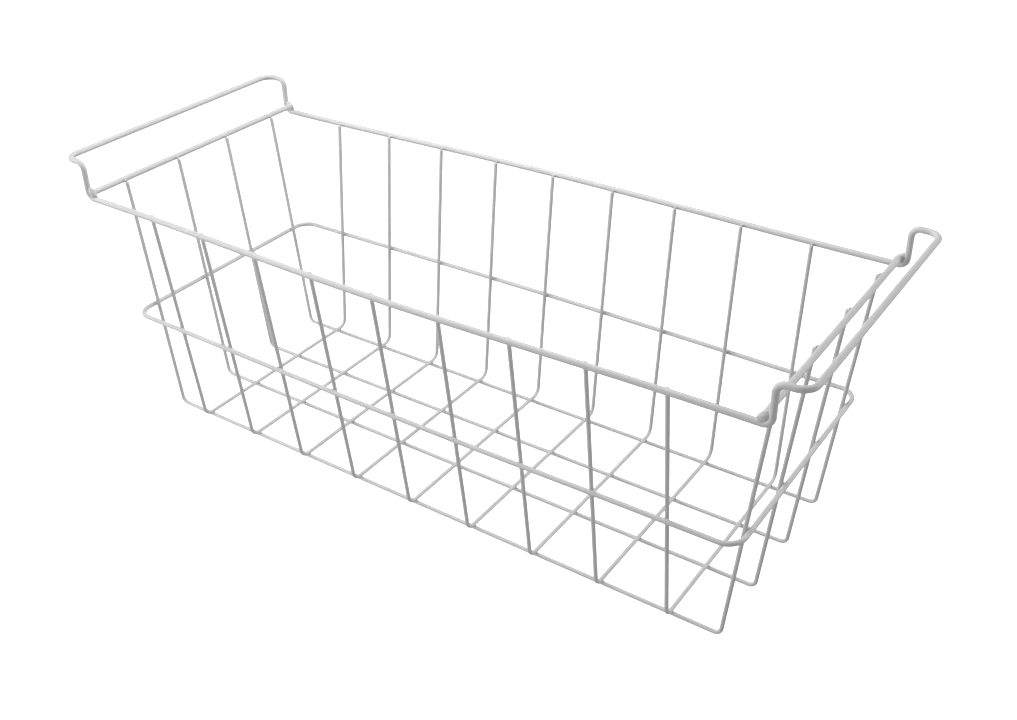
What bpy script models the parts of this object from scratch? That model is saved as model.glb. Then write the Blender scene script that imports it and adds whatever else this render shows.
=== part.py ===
"""Hanging wire basket: seventeen coated steel wires, welded together where they cross.

A heavy rim wire is bent into one closed loop: two long rails, which bow outwards, and at each
end a hanger bar that stands above and outside the basket. Two straight end bars lie across
the rails. Nine cross wires hang between the rails and four long wires between the end bars,
each bent into a U whose legs lean outwards. The cross wires' floor runs lie on the long
wires' floor runs, and a band ring goes round the outside of all the legs.

Units are metres. +X runs along the basket, +Y to its back rail and +Z up, from the middle of
the floor it stands on. Wires that are welded in the real basket keep WELD_GAP between them.
"""

import math

import bpy
from mathutils import Vector

# Driving sizes. Lengths are between centre lines, diameters are over the coating.
RIM_LENGTH = 0.520                  # riser to riser
RIM_WIDTH = 0.2035                  # front rail to back rail, at the risers
RAIL_BOW = 0.0052                   # each rail's middle, out from its ends
BASKET_DEPTH = 0.177                # rails down to the cross wires' floor runs
END_LEAN = math.radians(5.8)        # long wires' legs, from upright
SIDE_LEAN = math.radians(5.3)       # cross wires' legs, from upright, where the rails start to bow
HANGER_RISE = 0.0264                # hanger bars above the rails
HANGER_REACH = 0.018                # hanger bars out from the risers
BAND_HEIGHT = 0.0826                # band ring above the cross wires' floor runs
END_MARGIN = 0.033                  # floor's end to the first cross wire

RIM_WIRE = 0.0042
END_BAR_WIRE = 0.0042
BAND_WIRE = 0.0034
CROSS_WIRE = 0.0028
LONG_WIRE = 0.0028

CROSS_COUNT = 9
LONG_COUNT = 4

# Bend radii, to the centre line.
RISER_BEND = 0.0055
HANGER_BEND = 0.009
BAND_BEND = 0.012
CROSS_BEND = 0.007
LONG_BEND = 0.005

LEG_END_RISE = 0.0003               # legs' cut ends above the centre line of the wire they hang from
WELD_GAP = 0.0003                   # between wires that are welded together

# A wire's section is a regular polygon drawn round its true circle, one flat facing down.
BEVEL_RESOLUTION = 4
SECTION_SIDES = 2 * BEVEL_RESOLUTION + 4
BEND_STEPS = 6                      # straight pieces in each bend
BOW_STEPS = 12                      # straight pieces in each bowed run

COATING_COLOUR = (0.80, 0.80, 0.80, 1.0)
COATING_ROUGHNESS = 0.35
COATING_METALLIC = 0.0


def seat_in_bend(bend, clearance):
    """Return how far, both ways, a wire nested in a square bend lies from the bend's corner.

    The nested wire's centre keeps the given distance from the bent wire's centre line.
    """
    if bend <= clearance:
        return clearance
    return bend - (bend - clearance) / math.sqrt(2)


def leg_reach(bearing, bearing_z, clearance, lean, z):
    """Return how far out a leaning leg is at height z, when it passes inside a bearing wire."""
    return bearing - clearance / math.cos(lean) - (bearing_z - z) * math.tan(lean)


def spread(count, reach):
    """Return evenly spaced places from -reach to +reach."""
    return [reach * (2 * i / (count - 1) - 1) for i in range(count)]


# Heights, from the floor up.
LONG_Z = LONG_WIRE / 2
CROSS_Z = LONG_WIRE + WELD_GAP + CROSS_WIRE / 2
BAND_Z = CROSS_Z + BAND_HEIGHT
RAIL_Z = CROSS_Z + BASKET_DEPTH
HANGER_Z = RAIL_Z + HANGER_RISE

# The end bars are nested where the rails turn up into the risers.
RISER_X = RIM_LENGTH / 2
RISER_Y = RIM_WIDTH / 2
BOW_X = RISER_X - 2 * RISER_BEND
BAR_SEAT = seat_in_bend(RISER_BEND, (RIM_WIRE + END_BAR_WIRE) / 2 + WELD_GAP)
BAR_X = RISER_X - BAR_SEAT
BAR_Z = RAIL_Z + BAR_SEAT

# Legs pass inside the wire that they hang from, and the band passes outside the legs.
LONG_CLEARANCE = (END_BAR_WIRE + LONG_WIRE) / 2 + WELD_GAP
CROSS_CLEARANCE = (RIM_WIRE + CROSS_WIRE) / 2 + WELD_GAP
FLOOR_X = leg_reach(BAR_X, BAR_Z, LONG_CLEARANCE, END_LEAN, LONG_Z)
FLOOR_Y = leg_reach(RISER_Y, RAIL_Z, CROSS_CLEARANCE, SIDE_LEAN, CROSS_Z)
BAND_X = (leg_reach(BAR_X, BAR_Z, LONG_CLEARANCE, END_LEAN, BAND_Z)
          + ((BAND_WIRE + LONG_WIRE) / 2 + WELD_GAP) / math.cos(END_LEAN))

# The outer long wires lie where the cross wires' floor runs begin to turn up.
CROSS_PLACES = spread(CROSS_COUNT, FLOOR_X - END_MARGIN)
LONG_PLACES = spread(LONG_COUNT, FLOOR_Y - CROSS_BEND)


def rail_y(x):
    """Return how far out the back rail is at x: it bows between straight ends."""
    return RISER_Y + RAIL_BOW * (1 + math.cos(math.pi * min(abs(x) / BOW_X, 1))) / 2


def cross_lean(x):
    """Return the lean of a cross wire's leg that rises from the floor to inside the rail."""
    out, up = rail_y(x) - FLOOR_Y, RAIL_Z - CROSS_Z
    return math.atan2(out, up) - math.asin(CROSS_CLEARANCE / math.hypot(out, up))


def cross_reach(x, z):
    """Return how far out a cross wire's leg is at height z."""
    return FLOOR_Y + (z - CROSS_Z) * math.tan(cross_lean(x))


def band_y(x):
    """Return how far out the band's back run is at x, where it passes outside the legs."""
    clearance = (BAND_WIRE + CROSS_WIRE) / 2 + WELD_GAP
    return cross_reach(x, BAND_Z) + clearance / math.cos(cross_lean(x))


def bend_points(before, corner, after, radius):
    """Return points along the arc that rounds one corner of a path."""
    back, ahead = before - corner, after - corner
    half = back.angle(ahead) / 2
    tangent = min(radius / math.tan(half), back.length / 2, ahead.length / 2)
    radius = tangent * math.tan(half)
    back.normalize()
    ahead.normalize()
    centre = corner + (back + ahead).normalized() * (radius / math.sin(half))
    start = corner + back * tangent - centre
    end = corner + ahead * tangent - centre
    sweep = start.angle(end)
    points = []
    for step in range(BEND_STEPS + 1):
        angle = sweep * step / BEND_STEPS
        blend = start * math.sin(sweep - angle) + end * math.sin(angle)
        points.append(centre + blend / math.sin(sweep))
    return points


def bent_path(corners):
    """Round a path's corners, each given with its bend radius, or None on a gentle curve."""
    places = [Vector(corner) for corner, _ in corners]
    path = []
    for i, (_, radius) in enumerate(corners):
        if radius is None:
            path.append(places[i])
        else:
            after = places[(i + 1) % len(places)]
            path.extend(bend_points(places[i - 1], places[i], after, radius))
    return path


def coating(name):
    """Make the smooth white coating of one kind of wire."""
    material = bpy.data.materials.new(name)
    material.use_nodes = True
    shader = material.node_tree.nodes["Principled BSDF"]
    shader.inputs["Base Color"].default_value = COATING_COLOUR
    shader.inputs["Roughness"].default_value = COATING_ROUGHNESS
    shader.inputs["Metallic"].default_value = COATING_METALLIC
    return material


def wire_curve(name, path, diameter, closed=False):
    """Make a round wire that follows a path."""
    curve = bpy.data.curves.new(name, "CURVE")
    curve.dimensions = "3D"
    curve.bevel_depth = diameter / 2 / math.cos(math.pi / SECTION_SIDES)
    curve.bevel_resolution = BEVEL_RESOLUTION
    curve.use_fill_caps = True
    spline = curve.splines.new("POLY")
    spline.points.add(len(path) - 1)
    for point, place in zip(spline.points, path):
        point.co = (*place, 1)
        point.tilt = math.pi / SECTION_SIDES
    spline.use_cyclic_u = closed
    curve.materials.append(coating(name + "_coating"))
    return curve


def place(name, curve, basket, location=(0, 0, 0)):
    """Add one wire to the basket."""
    wire = bpy.data.objects.new(name, curve)
    wire.location = location
    wire.parent = basket
    basket.users_collection[0].objects.link(wire)


def add_rim_wire(basket):
    """Add the closed rim loop: bowed rails, risers, arms and hanger bars."""
    rail = spread(BOW_STEPS + 1, BOW_X)
    hanger_x = RISER_X + HANGER_REACH
    half = [((x, -rail_y(x), RAIL_Z), None) for x in rail]
    half += [
        ((RISER_X, -RISER_Y, RAIL_Z), RISER_BEND),
        ((RISER_X, -RISER_Y, HANGER_Z), RISER_BEND),
        ((hanger_x, -RISER_Y, HANGER_Z), HANGER_BEND),
        ((hanger_x, RISER_Y, HANGER_Z), HANGER_BEND),
        ((RISER_X, RISER_Y, HANGER_Z), RISER_BEND),
        ((RISER_X, RISER_Y, RAIL_Z), RISER_BEND),
    ]
    loop = half + [((-x, -y, z), radius) for (x, y, z), radius in half]
    place("rim_wire", wire_curve("rim_wire", bent_path(loop), RIM_WIRE, closed=True), basket)


def add_end_bars(basket):
    """Add the straight bars across the rails, cut level with the rails' centre lines."""
    curve = wire_curve("end_bar", [(0, -RISER_Y, 0), (0, RISER_Y, 0)], END_BAR_WIRE)
    for name, x in (("left_end_bar", -BAR_X), ("right_end_bar", BAR_X)):
        place(name, curve, basket, (x, 0, BAR_Z))


def add_cross_wires(basket):
    """Add the U wires that hang from the rails, cut just above the rails' centre lines."""
    top_z = RAIL_Z + LEG_END_RISE
    for number, x in enumerate(CROSS_PLACES, 1):
        top_y = cross_reach(x, top_z)
        path = bent_path([
            ((0, -top_y, top_z), None),
            ((0, -FLOOR_Y, CROSS_Z), CROSS_BEND),
            ((0, FLOOR_Y, CROSS_Z), CROSS_BEND),
            ((0, top_y, top_z), None),
        ])
        name = f"cross_wire_{number}"
        place(name, wire_curve(name, path, CROSS_WIRE), basket, (x, 0, 0))


def add_long_wires(basket):
    """Add the U wires that hang from the end bars, cut just above the bars' centre lines."""
    top_z = BAR_Z + LEG_END_RISE
    top_x = leg_reach(BAR_X, BAR_Z, LONG_CLEARANCE, END_LEAN, top_z)
    path = bent_path([
        ((-top_x, 0, top_z), None),
        ((-FLOOR_X, 0, LONG_Z), LONG_BEND),
        ((FLOOR_X, 0, LONG_Z), LONG_BEND),
        ((top_x, 0, top_z), None),
    ])
    curve = wire_curve("long_wire", path, LONG_WIRE)
    for number, y in enumerate(LONG_PLACES, 1):
        place(f"long_wire_{number}", curve, basket, (0, y, 0))


def add_band_ring(basket):
    """Add the ring that ties the legs together from outside and bows as they do."""
    runs = spread(BOW_STEPS + 1, BAND_X)
    half = [((x, -band_y(x), BAND_Z), None) for x in runs[1:-1]]
    half += [((BAND_X, side * band_y(BAND_X), BAND_Z), BAND_BEND) for side in (-1, 1)]
    loop = half + [((-x, -y, z), radius) for (x, y, z), radius in half]
    place("band_ring", wire_curve("band_ring", bent_path(loop), BAND_WIRE, closed=True), basket)


def main():
    """Clear the scene and build the basket in its own collection."""
    for old in list(bpy.data.objects):
        bpy.data.objects.remove(old, do_unlink=True)
    collection = bpy.data.collections.new("wire_basket")
    bpy.context.scene.collection.children.link(collection)
    basket = bpy.data.objects.new("wire_basket", None)
    collection.objects.link(basket)
    add_rim_wire(basket)
    add_end_bars(basket)
    add_cross_wires(basket)
    add_long_wires(basket)
    add_band_ring(basket)


main()
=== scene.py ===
"""A hanging basket of white coated wire, as a finished object in a plain pale studio.

Every wire is drawn out of a ring of its own gauge, run by run and bend by bend, on the line
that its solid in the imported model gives. The beads that the welds and the coating leave where
wires touch, and the lumps over the end bars' cut ends, are pieces of their own.
"""

import enum
import logging
import math
import random
from dataclasses import dataclass, field
from typing import Callable, Iterator

import bpy
from mathutils import Matrix, Quaternion, Vector


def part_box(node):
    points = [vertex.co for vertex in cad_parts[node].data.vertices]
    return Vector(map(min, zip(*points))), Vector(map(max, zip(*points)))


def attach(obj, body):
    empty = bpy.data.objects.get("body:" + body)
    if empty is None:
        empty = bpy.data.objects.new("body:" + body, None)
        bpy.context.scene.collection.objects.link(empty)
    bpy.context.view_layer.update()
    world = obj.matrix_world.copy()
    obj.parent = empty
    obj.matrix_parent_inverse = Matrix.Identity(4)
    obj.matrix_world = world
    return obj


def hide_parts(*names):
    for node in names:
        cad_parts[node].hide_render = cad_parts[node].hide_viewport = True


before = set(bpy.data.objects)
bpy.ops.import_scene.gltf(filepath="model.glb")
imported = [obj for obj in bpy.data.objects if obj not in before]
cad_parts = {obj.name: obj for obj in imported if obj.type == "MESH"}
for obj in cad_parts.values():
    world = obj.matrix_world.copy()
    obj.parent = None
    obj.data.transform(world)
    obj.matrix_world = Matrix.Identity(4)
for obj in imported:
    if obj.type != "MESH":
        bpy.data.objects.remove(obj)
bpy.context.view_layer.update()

log = logging.getLogger("basket")

X = Vector((1, 0, 0))
Y = Vector((0, 1, 0))
Z = Vector((0, 0, 1))


class Slot(enum.Enum):
    """Material slots of the record, one for each gauge of wire."""

    HEAVY = "heavy_wire_coating"
    BAND = "band_wire_coating"
    MESH = "mesh_wire_coating"


class Side(enum.Enum):
    """The two ends of the basket, or its front and back, by their sign along the axis."""

    LOW = -1
    HIGH = 1


def node_centre(name: str) -> Vector:
    """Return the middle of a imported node's box."""
    low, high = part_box(name)
    return (low + high) / 2


def node_size(name: str) -> Vector:
    """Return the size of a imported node's box."""
    low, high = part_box(name)
    return high - low


def leaning(angle: float, outward: Vector) -> Vector:
    """Return the upward direction that leans outwards by an angle from upright."""
    return Z * math.cos(angle) + outward * math.sin(angle)


# ------------------------------------------------------------------ finishes


class Nodes:
    """A small helper that adds and joins the nodes of one material or world."""

    def __init__(self, tree: bpy.types.NodeTree) -> None:
        """Keep the tree that the nodes go into."""
        self.tree = tree

    def add(self, kind: str, **values: object) -> bpy.types.Node:
        """Add a node and set its properties and its unlinked sockets.

        Args:
            kind: the node's type name.
            values: a property by its name, or a socket by its name with _ for each space.

        Returns:
            The new node.
        """
        node = self.tree.nodes.new(kind)
        for name, value in values.items():
            if hasattr(node, name):
                setattr(node, name, value)
            else:
                node.inputs[name.replace("_", " ")].default_value = value
        return node

    def join(self, source: bpy.types.NodeSocket, target: bpy.types.NodeSocket) -> None:
        """Link one socket to another."""
        self.tree.links.new(source, target)


@dataclass(frozen=True)
class PowderCoat:
    """A satin powder coating that flowed smooth in the oven over steel wire.

    The colour wanders a little over a few centimetres, the gloss over millimetres, and the
    surface keeps the faint orange peel of a sprayed powder.
    """

    colour: tuple[float, float, float]
    thin_colour: tuple[float, float, float]
    roughness: tuple[float, float] = (0.36, 0.48)
    drift_scale: float = 30.0
    gloss_scale: float = 160.0
    peel_scale: float = 700.0
    peel_depth: float = 0.00004
    peel_strength: float = 0.25
    specular: float = 0.45
    tint_range: tuple[float, float] = (0.36, 0.62)
    gloss_range: tuple[float, float] = (0.3, 0.7)

    def material(self, name: str) -> bpy.types.Material:
        """Build the coating's material.

        Args:
            name: the material's name.

        Returns:
            The new material.
        """
        material = bpy.data.materials.new(name)
        material.use_nodes = True
        material.diffuse_color = (*self.colour, 1)
        nodes = Nodes(material.node_tree)
        shader = material.node_tree.nodes["Principled BSDF"]
        shader.inputs["Specular IOR Level"].default_value = self.specular
        place = nodes.add("ShaderNodeTexCoord")

        drift = nodes.add("ShaderNodeTexNoise", Scale=self.drift_scale, Detail=4.0)
        nodes.join(place.outputs["Object"], drift.inputs["Vector"])
        tint = nodes.add("ShaderNodeValToRGB")
        colours = (self.thin_colour, self.colour)
        for element, position, colour in zip(tint.color_ramp.elements, self.tint_range, colours):
            element.position = position
            element.color = (*colour, 1)
        nodes.join(drift.outputs["Fac"], tint.inputs["Fac"])
        nodes.join(tint.outputs["Color"], shader.inputs["Base Color"])

        gloss = nodes.add("ShaderNodeTexNoise", Scale=self.gloss_scale, Detail=3.0)
        nodes.join(place.outputs["Object"], gloss.inputs["Vector"])
        spread_gloss = nodes.add("ShaderNodeMapRange")
        spread_gloss.inputs["From Min"].default_value = self.gloss_range[0]
        spread_gloss.inputs["From Max"].default_value = self.gloss_range[1]
        spread_gloss.inputs["To Min"].default_value = self.roughness[0]
        spread_gloss.inputs["To Max"].default_value = self.roughness[1]
        nodes.join(gloss.outputs["Fac"], spread_gloss.inputs["Value"])
        nodes.join(spread_gloss.outputs["Result"], shader.inputs["Roughness"])

        peel = nodes.add("ShaderNodeTexNoise", Scale=self.peel_scale, Detail=2.0)
        nodes.join(place.outputs["Object"], peel.inputs["Vector"])
        bump = nodes.add("ShaderNodeBump", Strength=self.peel_strength, Distance=self.peel_depth)
        nodes.join(peel.outputs["Fac"], bump.inputs["Height"])
        nodes.join(bump.outputs["Normal"], shader.inputs["Normal"])
        return material


WIRE_COAT = PowderCoat(colour=(0.72, 0.72, 0.72), thin_colour=(0.68, 0.68, 0.683))
WELD_COAT = PowderCoat(
    colour=(0.66, 0.66, 0.66),
    thin_colour=(0.60, 0.60, 0.604),
    roughness=(0.40, 0.55),
    peel_scale=900.0,
    peel_depth=0.00008,
)


# ------------------------------------------------------------------ modelling


def deselect_all() -> None:
    """Leave edit mode and select nothing."""
    if bpy.context.object and bpy.context.object.mode == "EDIT":
        bpy.ops.object.mode_set(mode="OBJECT")
    bpy.ops.object.select_all(action="DESELECT")


def finish_mesh(piece: bpy.types.Object, smooth_angle: float = math.radians(35)) -> None:
    """Turn a piece's faces outwards, put its place in its mesh and shade it smooth.

    Args:
        piece: the modelled piece, in object mode.
        smooth_angle: the sharpest edge that is still shaded smooth.
    """
    deselect_all()
    piece.select_set(True)
    bpy.context.view_layer.objects.active = piece
    bpy.ops.object.mode_set(mode="EDIT")
    bpy.ops.mesh.select_all(action="SELECT")
    bpy.ops.mesh.normals_make_consistent(inside=False)
    bpy.ops.mesh.select_all(action="DESELECT")
    bpy.ops.object.mode_set(mode="OBJECT")
    bpy.ops.object.transform_apply(location=True, rotation=True, scale=True)
    bpy.ops.object.shade_smooth_by_angle(angle=smooth_angle)


class WireDraw:
    """One wire, drawn out of a ring as a bending machine feeds and bends it."""

    END_BEVEL = 0.35
    END_SEGMENTS = 4
    BEND_STEP = math.radians(7.5)
    CLOSE_SHARE = 50

    def __init__(self, name: str, radius: float, start: Vector, heading: Vector, sides: int) -> None:
        """Place the ring that the wire is drawn from.

        Args:
            name: the piece's name.
            radius: the wire's radius over its coating.
            start: where the wire's centre line starts.
            heading: the direction it starts in.
            sides: the sides of its section.
        """
        deselect_all()
        self.radius = radius
        self.place = start.copy()
        self.heading = heading.normalized()
        bpy.ops.mesh.primitive_circle_add(
            vertices=sides,
            radius=radius,
            fill_type="NOTHING",
            location=start,
            rotation=self.heading.to_track_quat("Z", "Y").to_euler(),
        )
        self.piece = bpy.context.object
        self.piece.name = self.piece.data.name = name
        bpy.ops.object.mode_set(mode="EDIT")
        bpy.ops.mesh.select_all(action="SELECT")

    def feed(self, length: float, steps: int = 1) -> None:
        """Draw a straight run.

        Args:
            length: how long the run is.
            steps: how many equal lengths it is drawn in.
        """
        for _ in range(steps):
            move = self.heading * (length / steps)
            bpy.ops.mesh.extrude_region_move(TRANSFORM_OT_translate={"value": move})
        self.place += self.heading * length

    def bend(self, angle: float, radius: float, axis: Vector) -> None:
        """Draw a bend.

        Args:
            angle: how far the wire turns, by the right hand about the axis.
            radius: the bend's radius, to the centre line.
            axis: the direction that the bend turns about, square to the wire.
        """
        axis = axis.normalized()
        centre = self.place + axis.cross(self.heading) * radius
        steps = max(3, math.ceil(angle / self.BEND_STEP))
        # The spin turns by the left hand about its axis.
        bpy.ops.mesh.spin(steps=steps, angle=-angle, center=centre, axis=axis)
        turn = Matrix.Rotation(angle, 3, axis)
        self.place = centre + turn @ (self.place - centre)
        self.heading = (turn @ self.heading).normalized()

    def cut(self) -> bpy.types.Object:
        """End the wire with rounded caps.

        Returns:
            The finished piece.
        """
        bpy.ops.mesh.select_all(action="DESELECT")
        bpy.ops.mesh.select_non_manifold(
            use_wire=False, use_multi_face=False, use_non_contiguous=False, use_verts=False
        )
        bpy.ops.mesh.edge_face_add()
        bpy.ops.mesh.bevel(
            offset=self.radius * self.END_BEVEL, segments=self.END_SEGMENTS, affect="EDGES"
        )
        bpy.ops.object.mode_set(mode="OBJECT")
        finish_mesh(self.piece)
        return self.piece

    def close(self) -> bpy.types.Object:
        """Weld the wire's end to its start.

        Returns:
            The finished piece.
        """
        bpy.ops.mesh.select_all(action="SELECT")
        bpy.ops.mesh.remove_doubles(threshold=self.radius / self.CLOSE_SHARE)
        bpy.ops.object.mode_set(mode="OBJECT")
        finish_mesh(self.piece)
        return self.piece


def bow_sides(piece: bpy.types.Object, reach: Callable[[float], float]) -> None:
    """Push a loop's front and back runs outwards.

    Args:
        piece: the finished loop.
        reach: how far out the push is, at a place along X.
    """
    for vertex in piece.data.vertices:
        vertex.co.y += math.copysign(reach(vertex.co.x), vertex.co.y)


# ------------------------------------------------------------------ the plan


@dataclass(frozen=True)
class BasketPlan:
    """Where the wires run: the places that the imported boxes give, and the bends between.

    Lengths are in metres and to the wires' centre lines. The basket is symmetric, so most
    places are one number, how far out from the middle.
    """

    hanger_reach: float = 0.018
    riser_bend: float = 0.0055
    hanger_bend: float = 0.009
    band_bend: float = 0.012
    cross_bend: float = 0.007
    long_bend: float = 0.005
    side_lean: float = math.radians(5.3)
    end_lean: float = math.radians(5.8)
    weld_gap: float = 0.0003
    bar_radius: float = field(init=False)
    band_radius: float = field(init=False)
    cross_radius: float = field(init=False)
    long_radius: float = field(init=False)
    cross_places: tuple[float, ...] = field(init=False)
    long_places: tuple[float, ...] = field(init=False)
    bar_x: float = field(init=False)
    bar_z: float = field(init=False)
    riser_x: float = field(init=False)
    riser_y: float = field(init=False)
    hanger_x: float = field(init=False)
    hanger_z: float = field(init=False)
    rail_z: float = field(init=False)
    rail_bow: float = field(init=False)
    band_x: float = field(init=False)
    band_z: float = field(init=False)
    floor_x: float = field(init=False)
    floor_y: float = field(init=False)
    long_z: float = field(init=False)
    cross_z: float = field(init=False)
    long_top: float = field(init=False)
    cross_top: float = field(init=False)

    def __post_init__(self) -> None:
        """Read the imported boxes."""
        crosses = sorted(node_centre(n).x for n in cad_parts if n.startswith("cross_wire"))
        longs = sorted(node_centre(n).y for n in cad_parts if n.startswith("long_wire"))
        rim_low, rim_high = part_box("rim_wire")
        bar = node_centre("right_end_bar")
        band_low, band_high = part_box("band_ring")
        cross_low, cross_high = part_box("cross_wire_1")
        long_low, long_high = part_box("long_wire_1")
        values: dict[str, float | tuple[float, ...]] = {
            "bar_radius": node_size("right_end_bar").z / 2,
            "band_radius": node_size("band_ring").z / 2,
            "cross_radius": node_size("cross_wire_1").x / 2,
            "long_radius": node_size("long_wire_1").y / 2,
            "cross_places": tuple(crosses),
            "long_places": tuple(longs),
            "bar_x": bar.x,
            "bar_z": bar.z,
            "band_z": (band_low.z + band_high.z) / 2,
            "long_top": long_high.z,
            "cross_top": cross_high.z,
        }
        bar_radius = values["bar_radius"]
        values["riser_y"] = node_size("right_end_bar").y / 2
        values["rail_z"] = rim_low.z + bar_radius
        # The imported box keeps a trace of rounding, so these two are set to a tenth of a millimetre.
        values["hanger_z"] = round(rim_high.z - bar_radius, 4)
        values["hanger_x"] = round(rim_high.x - bar_radius, 4)
        values["riser_x"] = values["hanger_x"] - self.hanger_reach
        values["rail_bow"] = rim_high.y - bar_radius - values["riser_y"]
        values["cross_z"] = cross_low.z + values["cross_radius"]
        values["long_z"] = long_low.z + values["long_radius"]
        for name, value in values.items():
            object.__setattr__(self, name, value)
        floor_x = self.long_leg_x(self.long_z)
        floor_y = (
            self.riser_y
            - self.cross_clearance / math.cos(self.side_lean)
            - (self.rail_z - self.cross_z) * math.tan(self.side_lean)
        )
        object.__setattr__(self, "floor_x", floor_x)
        object.__setattr__(self, "floor_y", floor_y)
        object.__setattr__(self, "band_x", self.long_leg_x(self.band_z) + self.band_clearance_x)

    @property
    def cross_clearance(self) -> float:
        """Return the distance between a rail and a cross wire's leg."""
        return self.bar_radius + self.cross_radius + self.weld_gap

    @property
    def long_clearance(self) -> float:
        """Return the distance between an end bar and a long wire's leg."""
        return self.bar_radius + self.long_radius + self.weld_gap

    @property
    def band_side_clearance(self) -> float:
        """Return the distance between the band and a cross wire's leg."""
        return self.band_radius + self.cross_radius + self.weld_gap

    @property
    def band_end_clearance(self) -> float:
        """Return the distance between the band and a long wire's leg."""
        return self.band_radius + self.long_radius + self.weld_gap

    @property
    def band_clearance_x(self) -> float:
        """Return how far the band stands out along X from the long wires' legs."""
        return self.band_end_clearance / math.cos(self.end_lean)

    @property
    def bow_x(self) -> float:
        """Return where the rails' bow ends and their straight ends begin."""
        return self.riser_x - 2 * self.riser_bend

    def rail_push(self, x: float) -> float:
        """Return how far the rails are pushed out at x."""
        return self.rail_bow * (1 + math.cos(math.pi * min(abs(x) / self.bow_x, 1))) / 2

    def rail_y(self, x: float) -> float:
        """Return how far out the rails are at x."""
        return self.riser_y + self.rail_push(x)

    def cross_lean(self, x: float) -> float:
        """Return the lean of the cross wire's legs at x."""
        out, up = self.rail_y(x) - self.floor_y, self.rail_z - self.cross_z
        return math.atan2(out, up) - math.asin(self.cross_clearance / math.hypot(out, up))

    def cross_leg_y(self, x: float, z: float) -> float:
        """Return how far out the cross wire's leg at x is at height z."""
        return self.floor_y + (z - self.cross_z) * math.tan(self.cross_lean(x))

    def long_leg_x(self, z: float) -> float:
        """Return how far out the long wires' legs are at height z."""
        inside = self.bar_x - self.long_clearance / math.cos(self.end_lean)
        return inside - (self.bar_z - z) * math.tan(self.end_lean)

    def band_y(self, x: float) -> float:
        """Return how far out the band's long runs are at x."""
        return self.cross_leg_y(x, self.band_z) + self.band_side_clearance / math.cos(self.cross_lean(x))


# ------------------------------------------------------------------ the wires


@dataclass
class Assembly:
    """A group of pieces that share a finish, listed under one slot, which the pieces are not given."""

    plan: BasketPlan
    slot: Slot
    coat: PowderCoat
    sides: int = 24
    pieces: list[bpy.types.Object] = field(default_factory=list)

    def build(self) -> None:
        """Model the pieces, which each kind of assembly does in its own way."""
        raise NotImplementedError

    def keep(self, piece: bpy.types.Object, *nodes: str) -> None:
        """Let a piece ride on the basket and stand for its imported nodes.

        Args:
            piece: the finished piece.
            nodes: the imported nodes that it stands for, if any.
        """
        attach(piece, "root")
        if nodes:
            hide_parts(*nodes)
        self.pieces.append(piece)

    def dress(self) -> None:
        """Give each piece its own coating material."""
        for piece in self.pieces:
            piece.data.materials.clear()
            piece.data.materials.append(self.coat.material(piece.name + "_coat"))


@dataclass
class RimLoop(Assembly):
    """The heavy closed loop: two bowed rails, four risers and two hanger bars."""

    sides: int = 32
    rail_steps: int = 96
    hanger_steps: int = 8

    def build(self) -> None:
        """Draw the loop from the middle of the front rail round to it again."""
        p = self.plan
        quarter = math.pi / 2
        draw = WireDraw("coated_rim", p.bar_radius, Vector((0, -p.riser_y, p.rail_z)), X, self.sides)
        for turn in (1, -1):
            inward = Y * turn
            draw.feed(p.riser_x - p.riser_bend, self.rail_steps // 2)
            draw.bend(quarter, p.riser_bend, -inward)
            draw.feed(p.hanger_z - p.rail_z - 2 * p.riser_bend)
            draw.bend(quarter, p.riser_bend, inward)
            draw.feed(p.hanger_reach - p.riser_bend - p.hanger_bend)
            draw.bend(quarter, p.hanger_bend, Z)
            draw.feed(2 * (p.riser_y - p.hanger_bend), self.hanger_steps)
            draw.bend(quarter, p.hanger_bend, Z)
            draw.feed(p.hanger_reach - p.riser_bend - p.hanger_bend)
            draw.bend(quarter, p.riser_bend, -inward)
            draw.feed(p.hanger_z - p.rail_z - 2 * p.riser_bend)
            draw.bend(quarter, p.riser_bend, inward)
            draw.feed(p.riser_x - p.riser_bend, self.rail_steps // 2)
        loop = draw.close()
        bow_sides(loop, p.rail_push)
        self.keep(loop, "rim_wire")


@dataclass
class EndBars(Assembly):
    """The two straight bars that lie across the rails where they turn up."""

    sides: int = 32
    steps: int = 8

    def build(self) -> None:
        """Draw both bars."""
        p = self.plan
        reach = p.riser_y
        for name, side in (("left_end_bar", Side.LOW), ("right_end_bar", Side.HIGH)):
            start = Vector((side.value * p.bar_x, -reach, p.bar_z))
            draw = WireDraw("coated_" + name, p.bar_radius, start, Y, self.sides)
            draw.feed(2 * reach, self.steps)
            self.keep(draw.cut(), name)


@dataclass
class CrossWires(Assembly):
    """The nine wires that hang between the rails, each a U with leaning legs."""

    end_melt: float = 0.0006
    steps: int = 12

    def build(self) -> None:
        """Draw each wire, from its front cut end down, across the floor and up."""
        p = self.plan
        for number, x in enumerate(p.cross_places, 1):
            lean = p.cross_lean(x)
            top_z = p.cross_top - p.cross_radius * math.sin(lean) - self.end_melt
            turn = math.pi / 2 - lean
            trim = p.cross_bend * math.tan(turn / 2)
            leg = (top_z - p.cross_z) / math.cos(lean) - trim
            start = Vector((x, -p.cross_leg_y(x, top_z), top_z))
            draw = WireDraw(
                f"coated_cross_wire_{number}", p.cross_radius, start, -leaning(lean, -Y), self.sides
            )
            draw.feed(leg, self.steps)
            draw.bend(turn, p.cross_bend, X)
            draw.feed(2 * (p.floor_y - trim), self.steps)
            draw.bend(turn, p.cross_bend, X)
            draw.feed(leg, self.steps)
            self.keep(draw.cut(), f"cross_wire_{number}")


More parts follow.
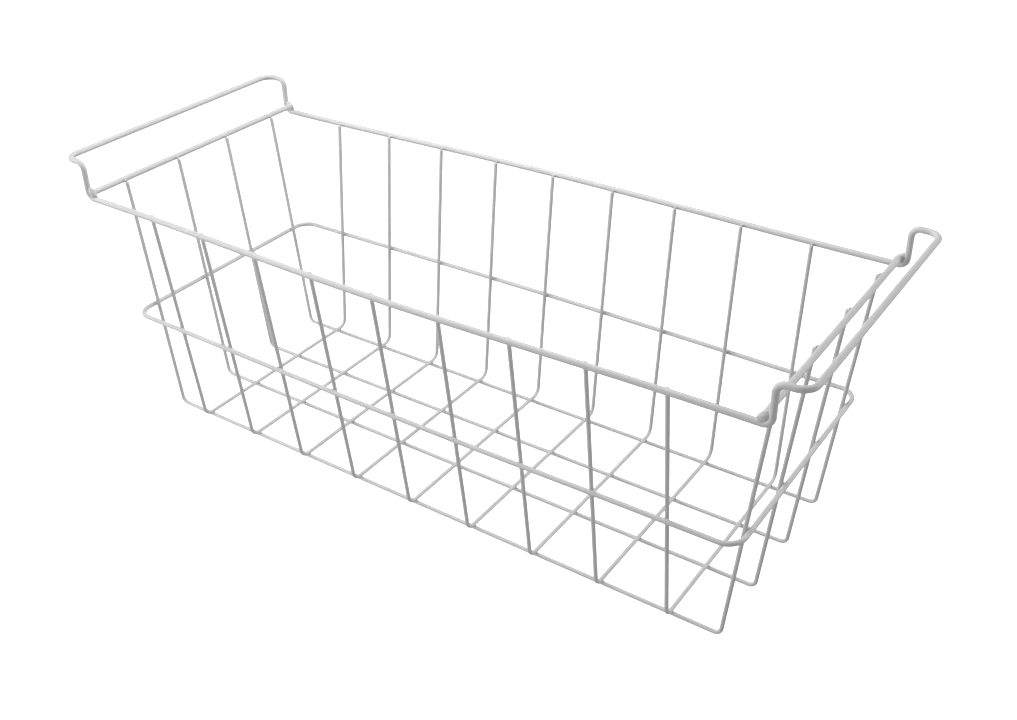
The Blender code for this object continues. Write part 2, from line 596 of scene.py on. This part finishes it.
@dataclass
class LongWires(Assembly):
    """The four wires that hang between the end bars, whose floor runs the basket stands on."""

    end_melt: float = 0.0012
    leg_steps: int = 12
    floor_steps: int = 24

    def build(self) -> None:
        """Draw each wire, from its left cut end down, along the floor and up."""
        p = self.plan
        turn = math.pi / 2 - p.end_lean
        trim = p.long_bend * math.tan(turn / 2)
        top_z = p.long_top - p.long_radius * math.sin(p.end_lean) - self.end_melt
        leg = (top_z - p.long_z) / math.cos(p.end_lean) - trim
        for number, y in enumerate(p.long_places, 1):
            start = Vector((-p.long_leg_x(top_z), y, top_z))
            draw = WireDraw(
                f"coated_long_wire_{number}", p.long_radius, start, -leaning(p.end_lean, -X), self.sides
            )
            draw.feed(leg, self.leg_steps)
            draw.bend(turn, p.long_bend, -Y)
            draw.feed(2 * (p.floor_x - trim), self.floor_steps)
            draw.bend(turn, p.long_bend, -Y)
            draw.feed(leg, self.leg_steps)
            self.keep(draw.cut(), f"long_wire_{number}")


@dataclass
class BandRing(Assembly):
    """The ring that ties the legs together from outside, half way up."""

    long_run_steps: int = 96
    end_run_steps: int = 8

    def build(self) -> None:
        """Draw the ring from the middle of its front run round to it again."""
        p = self.plan
        end_y = p.band_y(p.band_x)
        draw = WireDraw(
            "coated_band_ring", p.band_radius, Vector((0, -end_y, p.band_z)), X, self.sides
        )
        half = p.band_x - p.band_bend
        end_run = (2 * (end_y - p.band_bend), self.end_run_steps)
        half_run = (half, self.long_run_steps // 2)
        for length, steps in (half_run, end_run, (2 * half, self.long_run_steps), end_run):
            draw.feed(length, steps)
            draw.bend(math.pi / 2, p.band_bend, Z)
        draw.feed(*half_run)
        ring = draw.close()
        bow_sides(ring, lambda x: p.band_y(x) - end_y)
        self.keep(ring, "band_ring")


# ------------------------------------------------------------------ the welds


@dataclass(frozen=True)
class Crossing:
    """Two wires that cross square to each other, one on the other.

    The normal points from the lower wire's centre line, at foot, to the upper wire's. Where the
    upper wire is cut, its direction points to the cut end, and the bead reaches past the middle
    on that side by only a share of what it does elsewhere.
    """

    foot: Vector
    normal: Vector
    upper_along: Vector
    upper_radius: float
    lower_radius: float
    share_past_end: float = 1.0

    def place(self, gap: float) -> Matrix:
        """Return the turn and place of a bead between the wires.

        Args:
            gap: the space between the two wires.

        Returns:
            A matrix with X along the upper wire and Z along the normal.
        """
        lower_along = self.normal.cross(self.upper_along)
        turn = Matrix((self.upper_along, lower_along, self.normal)).transposed()
        half = (self.upper_radius + self.lower_radius + gap) / 2
        return Matrix.Translation(self.foot + self.normal * half) @ turn.to_4x4()

    def trim(self, bead: bpy.types.Mesh) -> None:
        """Draw a bead in on the side of the upper wire's cut end."""
        for vertex in bead.vertices:
            if vertex.co.x > 0:
                vertex.co.x *= self.share_past_end


@dataclass(frozen=True)
class Bead:
    """The hollow-sided bead that a weld and its coating leave round the place wires touch."""

    upper_radius: float
    lower_radius: float
    gap: float
    fillet: float
    segments: int = 24
    rings: int = 12
    sink: float = 0.00006
    halvings: int = 40

    def mesh(self) -> bpy.types.Mesh:
        """Shape a sphere into the bead, which lies between the two wires.

        Returns:
            The bead's mesh, with X along the upper wire and Z from the lower wire to it.
        """
        deselect_all()
        bpy.ops.mesh.primitive_uv_sphere_add(segments=self.segments, ring_count=self.rings, radius=1)
        ball = bpy.context.object
        half = (self.upper_radius + self.lower_radius + self.gap) / 2
        for vertex in ball.data.vertices:
            level = math.asin(max(-1.0, min(1.0, vertex.co.z))) / (math.pi / 2)
            if abs(level) > 1 - 0.5 / self.rings:
                vertex.co = Vector((0, 0, math.copysign(half, level)))
            else:
                around = math.atan2(vertex.co.y, vertex.co.x)
                vertex.co = self.flank(around, level * self.rings / (self.rings - 2), half)
        mesh = ball.data.copy()
        bpy.data.objects.remove(ball)
        return mesh

    def flank(self, around: float, level: float, half: float) -> Vector:
        """Return a point on the bead's side.

        Args:
            around: the angle from the upper wire's direction.
            level: -1 where the side meets the lower wire, 1 where it meets the upper.
            half: half the distance between the wires' centre lines.

        Returns:
            The point.
        """
        rise = (1 - abs(level)) ** 2 * self.fillet / 4
        sunk = self.sink if abs(level) > 0.99 else 0
        upper = self.upper_radius + rise + self.fillet * max(-level, 0) - sunk
        lower = self.lower_radius + rise + self.fillet * max(level, 0) - sunk
        along, across = math.cos(around) ** 2, math.sin(around) ** 2
        low, high = -half, half
        for _ in range(self.halvings):
            z = (low + high) / 2
            above = along * (upper**2 - (z - half) ** 2) - across * (lower**2 - (z + half) ** 2)
            low, high = (low, z) if above > 0 else (z, high)
        if across > along:
            reach = math.sqrt(max(upper**2 - (z - half) ** 2, 0) / across)
        else:
            reach = math.sqrt(max(lower**2 - (z + half) ** 2, 0) / along)
        return Vector((reach * math.cos(around), reach * math.sin(around), z))


@dataclass
class Welds(Assembly):
    """The beads at one kind of crossing, all in one piece."""

    name: str = ""
    crossings: list[Crossing] = field(default_factory=list)
    fillet: float = 0.0011
    spread: float = 0.16
    seed: int = 7
    smooth_angle: float = math.radians(60)
    lump: Vector | None = None
    lump_sink: float = 0.0006
    lump_swell: float = 0.07

    def build(self) -> None:
        """Copy beads of three sizes to the crossings, add any lumps, and join them."""
        p = self.plan
        first = self.crossings[0]
        meshes = [
            Bead(first.upper_radius, first.lower_radius, p.weld_gap, self.fillet * size).mesh()
            for size in (1 - self.spread, 1, 1 + self.spread)
        ]
        chance = random.Random(self.seed)
        beads = []
        for crossing in self.crossings:
            mesh = chance.choice(meshes).copy()
            crossing.trim(mesh)
            parts = [mesh] if self.lump is None else [mesh, self.lump_over(crossing)]
            for part in parts:
                part.transform(crossing.place(p.weld_gap))
                bead = bpy.data.objects.new(self.name, part)
                bpy.context.scene.collection.objects.link(bead)
                beads.append(bead)
        deselect_all()
        for bead in beads:
            bead.select_set(True)
        bpy.context.view_layer.objects.active = beads[0]
        bpy.ops.object.join()
        piece = beads[0]
        piece.name = piece.data.name = self.name
        finish_mesh(piece, self.smooth_angle)
        for mesh in meshes:
            bpy.data.meshes.remove(mesh)
        self.keep(piece)

    def lump_over(self, crossing: Crossing) -> bpy.types.Mesh:
        """Shape a sphere into the uneven lump of weld that covers the upper wire's cut end.

        Args:
            crossing: where the wires cross.

        Returns:
            The lump's mesh, with X along the upper wire and Z from the lower wire to it.
        """
        deselect_all()
        bpy.ops.mesh.primitive_uv_sphere_add(segments=32, ring_count=20, radius=1)
        ball = bpy.context.object
        half = (crossing.upper_radius + crossing.lower_radius + self.plan.weld_gap) / 2
        for vertex in ball.data.vertices:
            at = vertex.co.copy()
            swell = 1 + self.lump_swell * math.sin(4 * at.y + 3 * at.z) * math.cos(5 * at.z - 2 * at.x)
            vertex.co = Vector([a * b for a, b in zip(at, self.lump)]) * swell
            vertex.co.z += half - self.lump_sink
        mesh = ball.data.copy()
        bpy.data.objects.remove(ball)
        return mesh


@dataclass(frozen=True)
class WeldPlan:
    """Finds every crossing of the basket, kind by kind."""

    plan: BasketPlan
    past_leg_end: float = 0.22
    past_bar_end: float = 0.30

    def floor(self) -> Iterator[Crossing]:
        """Yield the cross wires' crossings with the long wires that they lie on."""
        p = self.plan
        for x in p.cross_places:
            for y in p.long_places:
                yield Crossing(Vector((x, y, p.long_z)), Z, Y, p.cross_radius, p.long_radius)

    def rails(self) -> Iterator[Crossing]:
        """Yield the cross wires' crossings with the rails that they hang from."""
        p = self.plan
        for x in p.cross_places:
            for side in Side:
                out = Y * side.value
                along = leaning(p.cross_lean(x), out)
                inward = X.cross(along) * side.value
                foot = Vector((x, side.value * p.rail_y(x), p.rail_z))
                yield Crossing(foot, inward, along, p.cross_radius, p.bar_radius, self.past_leg_end)

    def bars(self) -> Iterator[Crossing]:
        """Yield the long wires' crossings with the end bars that they hang from."""
        p = self.plan
        for y in p.long_places:
            for side in Side:
                along = leaning(p.end_lean, X * side.value)
                inward = -Y.cross(along) * side.value
                foot = Vector((side.value * p.bar_x, y, p.bar_z))
                yield Crossing(foot, inward, along, p.long_radius, p.bar_radius, self.past_leg_end)

    def band_sides(self) -> Iterator[Crossing]:
        """Yield the band's crossings with the cross wires' legs."""
        p = self.plan
        for x in p.cross_places:
            for side in Side:
                along = leaning(p.cross_lean(x), Y * side.value)
                outward = -X.cross(along) * side.value
                band = Vector((x, side.value * p.band_y(x), p.band_z))
                foot = band - outward * p.band_side_clearance
                yield Crossing(foot, outward, X, p.band_radius, p.cross_radius)

    def band_ends(self) -> Iterator[Crossing]:
        """Yield the band's crossings with the long wires' legs."""
        p = self.plan
        for y in p.long_places:
            for side in Side:
                along = leaning(p.end_lean, X * side.value)
                outward = Y.cross(along) * side.value
                band = Vector((side.value * p.band_x, y, p.band_z))
                foot = band - outward * p.band_end_clearance
                yield Crossing(foot, outward, Y, p.band_radius, p.long_radius)

    def corners(self) -> Iterator[Crossing]:
        """Yield the end bars' places in the bends where the rails turn up."""
        p = self.plan
        for side in Side:
            inward = (Z - X * side.value).normalized()
            bar = Vector((side.value * p.bar_x, 0, p.bar_z))
            foot = bar - inward * (2 * p.bar_radius + p.weld_gap)
            for edge in Side:
                outward = Y * edge.value
                place = foot + outward * p.riser_y
                yield Crossing(place, inward, outward, p.bar_radius, p.bar_radius, self.past_bar_end)


# ------------------------------------------------------------------ the studio


@dataclass(frozen=True)
class SoftBox:
    """A square soft light that is turned to the basket."""

    name: str
    place: tuple[float, float, float]
    width: float
    power: float


@dataclass(frozen=True)
class Studio:
    """A pale floor and backdrop, soft light from above, both sides and the front, and a camera."""

    floor_colour: tuple[float, float, float] = (0.90, 0.90, 0.90)
    floor_glow: float = 1.0
    backdrop_glow: float = 1.3
    light_below: float = 0.41
    light_above: float = 0.24
    soft_boxes: tuple[SoftBox, ...] = (
        SoftBox("overhead_box", (-0.12, 0.05, 0.72), 0.5, 2.9),
        SoftBox("left_box", (-0.95, -0.55, 0.45), 0.8, 2.8),
        SoftBox("right_box", (1.30, 0.90, 0.50), 1.0, 8.0),
        SoftBox("front_box", (-0.80, -0.98, 0.24), 0.8, 5.0),
    )
    floor_width: float = 24.0
    floor_roughness: float = 0.85
    floor_specular: float = 0.2
    floor_mottle: float = 0.98
    light_aim: tuple[float, float, float] = (0, 0, 0.1)
    sensor_width: float = 36.0
    camera_place: tuple[float, float, float] = (0.43655, -0.58565, 0.53754)
    camera_azimuth: float = math.radians(34.922)
    camera_elevation: float = math.radians(30.964)
    camera_roll: float = math.radians(-1.274)
    lens: float = 43.04
    shift: tuple[float, float] = (0.0023, -0.0252)

    def build(self) -> None:
        """Set up the floor, backdrop, lights and camera."""
        self.add_floor()
        self.add_backdrop()
        self.add_world()
        self.add_lights()
        self.add_camera()
        view = bpy.context.scene.view_settings
        view.view_transform = "Standard"
        view.look = "None"

    def add_floor(self) -> None:
        """Lay the floor at the height that the basket stands on."""
        deselect_all()
        bpy.ops.mesh.primitive_plane_add(size=self.floor_width, location=(0, 0, 0))
        floor = bpy.context.object
        floor.name = "studio_floor"
        floor.visible_diffuse = False
        floor.visible_glossy = False
        floor.visible_shadow = False
        material = bpy.data.materials.new("studio_floor_paint")
        material.use_nodes = True
        nodes = Nodes(material.node_tree)
        shader = material.node_tree.nodes["Principled BSDF"]
        shader.inputs["Roughness"].default_value = self.floor_roughness
        shader.inputs["Specular IOR Level"].default_value = self.floor_specular
        shader.inputs["Emission Color"].default_value = (1, 1, 1, 1)
        shader.inputs["Emission Strength"].default_value = self.floor_glow
        place = nodes.add("ShaderNodeTexCoord")
        mottle = nodes.add("ShaderNodeTexNoise", Scale=3.0, Detail=3.0)
        nodes.join(place.outputs["Object"], mottle.inputs["Vector"])
        tint = nodes.add("ShaderNodeValToRGB")
        tint.color_ramp.elements[0].color = (*(self.floor_mottle * c for c in self.floor_colour), 1)
        tint.color_ramp.elements[1].color = (*self.floor_colour, 1)
        nodes.join(mottle.outputs["Fac"], tint.inputs["Fac"])
        nodes.join(tint.outputs["Color"], shader.inputs["Base Color"])
        floor.data.materials.append(material)

    def add_backdrop(self) -> None:
        """Put a plain white dome round the floor, which only the camera sees."""
        deselect_all()
        bpy.ops.mesh.primitive_uv_sphere_add(segments=48, ring_count=24, radius=self.floor_width / 2)
        dome = bpy.context.object
        dome.name = "studio_backdrop"
        dome.visible_diffuse = False
        dome.visible_glossy = False
        dome.visible_shadow = False
        material = bpy.data.materials.new("studio_backdrop_paper")
        material.use_nodes = True
        nodes = Nodes(material.node_tree)
        output = material.node_tree.nodes["Material Output"]
        glow = nodes.add("ShaderNodeEmission", Color=(1, 1, 1, 1), Strength=self.backdrop_glow)
        nodes.join(glow.outputs["Emission"], output.inputs["Surface"])
        dome.data.materials.append(material)

    def add_world(self) -> None:
        """Fill the studio with soft light, a little brighter below, where the floor throws it back."""
        world = bpy.data.worlds.new("studio_air")
        bpy.context.scene.world = world
        world.use_nodes = True
        nodes = Nodes(world.node_tree)
        background = world.node_tree.nodes["Background"]
        place = nodes.add("ShaderNodeTexCoord")
        height = nodes.add("ShaderNodeSeparateXYZ")
        nodes.join(place.outputs["Generated"], height.inputs["Vector"])
        level = nodes.add("ShaderNodeMapRange")
        level.inputs["From Min"].default_value = -1.0
        level.inputs["From Max"].default_value = 1.0
        nodes.join(height.outputs["Z"], level.inputs["Value"])
        ramp = nodes.add("ShaderNodeValToRGB")
        for element, brightness in zip(ramp.color_ramp.elements, (self.light_below, self.light_above)):
            element.color = (brightness, brightness, brightness, 1)
        nodes.join(level.outputs["Result"], ramp.inputs["Fac"])
        nodes.join(ramp.outputs["Color"], background.inputs["Color"])

    def add_lights(self) -> None:
        """Hang the soft boxes, each turned to the basket."""
        for soft_box in self.soft_boxes:
            data = bpy.data.lights.new(soft_box.name, "AREA")
            data.shape = "SQUARE"
            data.size = soft_box.width
            data.energy = soft_box.power
            box = bpy.data.objects.new(soft_box.name, data)
            box.location = soft_box.place
            aim = Vector(self.light_aim) - Vector(soft_box.place)
            box.rotation_euler = aim.to_track_quat("-Z", "Y").to_euler()
            box.visible_camera = False
            bpy.context.scene.collection.objects.link(box)

    def add_camera(self) -> None:
        """Stand the camera at the basket's front right, above it."""
        data = bpy.data.cameras.new("camera")
        data.sensor_width = self.sensor_width
        data.lens = self.lens
        data.shift_x, data.shift_y = self.shift
        camera = bpy.data.objects.new("camera", data)
        azimuth, elevation = self.camera_azimuth, self.camera_elevation
        back = Vector((
            math.sin(azimuth) * math.cos(elevation),
            -math.cos(azimuth) * math.cos(elevation),
            math.sin(elevation),
        ))
        camera.rotation_mode = "QUATERNION"
        roll = Quaternion((0, 0, 1), self.camera_roll)
        camera.rotation_quaternion = (-back).to_track_quat("-Z", "Y") @ roll
        camera.location = self.camera_place
        bpy.context.scene.collection.objects.link(camera)
        bpy.context.scene.camera = camera


def report(assembly: Assembly) -> None:
    """Log each piece of an assembly.

    Args:
        assembly: the finished assembly.
    """
    for piece in assembly.pieces:
        low = Vector(min(v.co[i] for v in piece.data.vertices) for i in range(3))
        high = Vector(max(v.co[i] for v in piece.data.vertices) for i in range(3))
        size = ", ".join(f"{1000 * length:.1f}" for length in high - low)
        log.info("%s: %d faces, %s mm", piece.name, len(piece.data.polygons), size)


def main() -> None:
    """Build the basket wire by wire, then its welds, then the studio."""
    logging.basicConfig(level=logging.INFO, format="%(name)s: %(message)s")
    plan = BasketPlan()
    welds = WeldPlan(plan)
    heavy, band, mesh = Slot.HEAVY, Slot.BAND, Slot.MESH
    assemblies = [
        RimLoop(plan, heavy, WIRE_COAT),
        EndBars(plan, heavy, WIRE_COAT),
        CrossWires(plan, mesh, WIRE_COAT),
        LongWires(plan, mesh, WIRE_COAT),
        BandRing(plan, band, WIRE_COAT),
        Welds(plan, mesh, WELD_COAT, name="floor_welds", crossings=list(welds.floor())),
        Welds(plan, heavy, WELD_COAT, name="rail_welds", crossings=list(welds.rails())),
        Welds(plan, heavy, WELD_COAT, name="end_bar_welds", crossings=list(welds.bars())),
        Welds(plan, band, WELD_COAT, name="band_side_welds", crossings=list(welds.band_sides())),
        Welds(plan, band, WELD_COAT, name="band_end_welds", crossings=list(welds.band_ends())),
        Welds(
            plan, heavy, WELD_COAT, name="corner_welds", crossings=list(welds.corners()),
            fillet=0.0016, lump=Vector((0.0020, 0.0050, 0.0030)),
        ),
    ]
    for assembly in assemblies:
        assembly.build()
        assembly.dress()
        report(assembly)
    Studio().build()


if __name__ == "__main__":
    main()
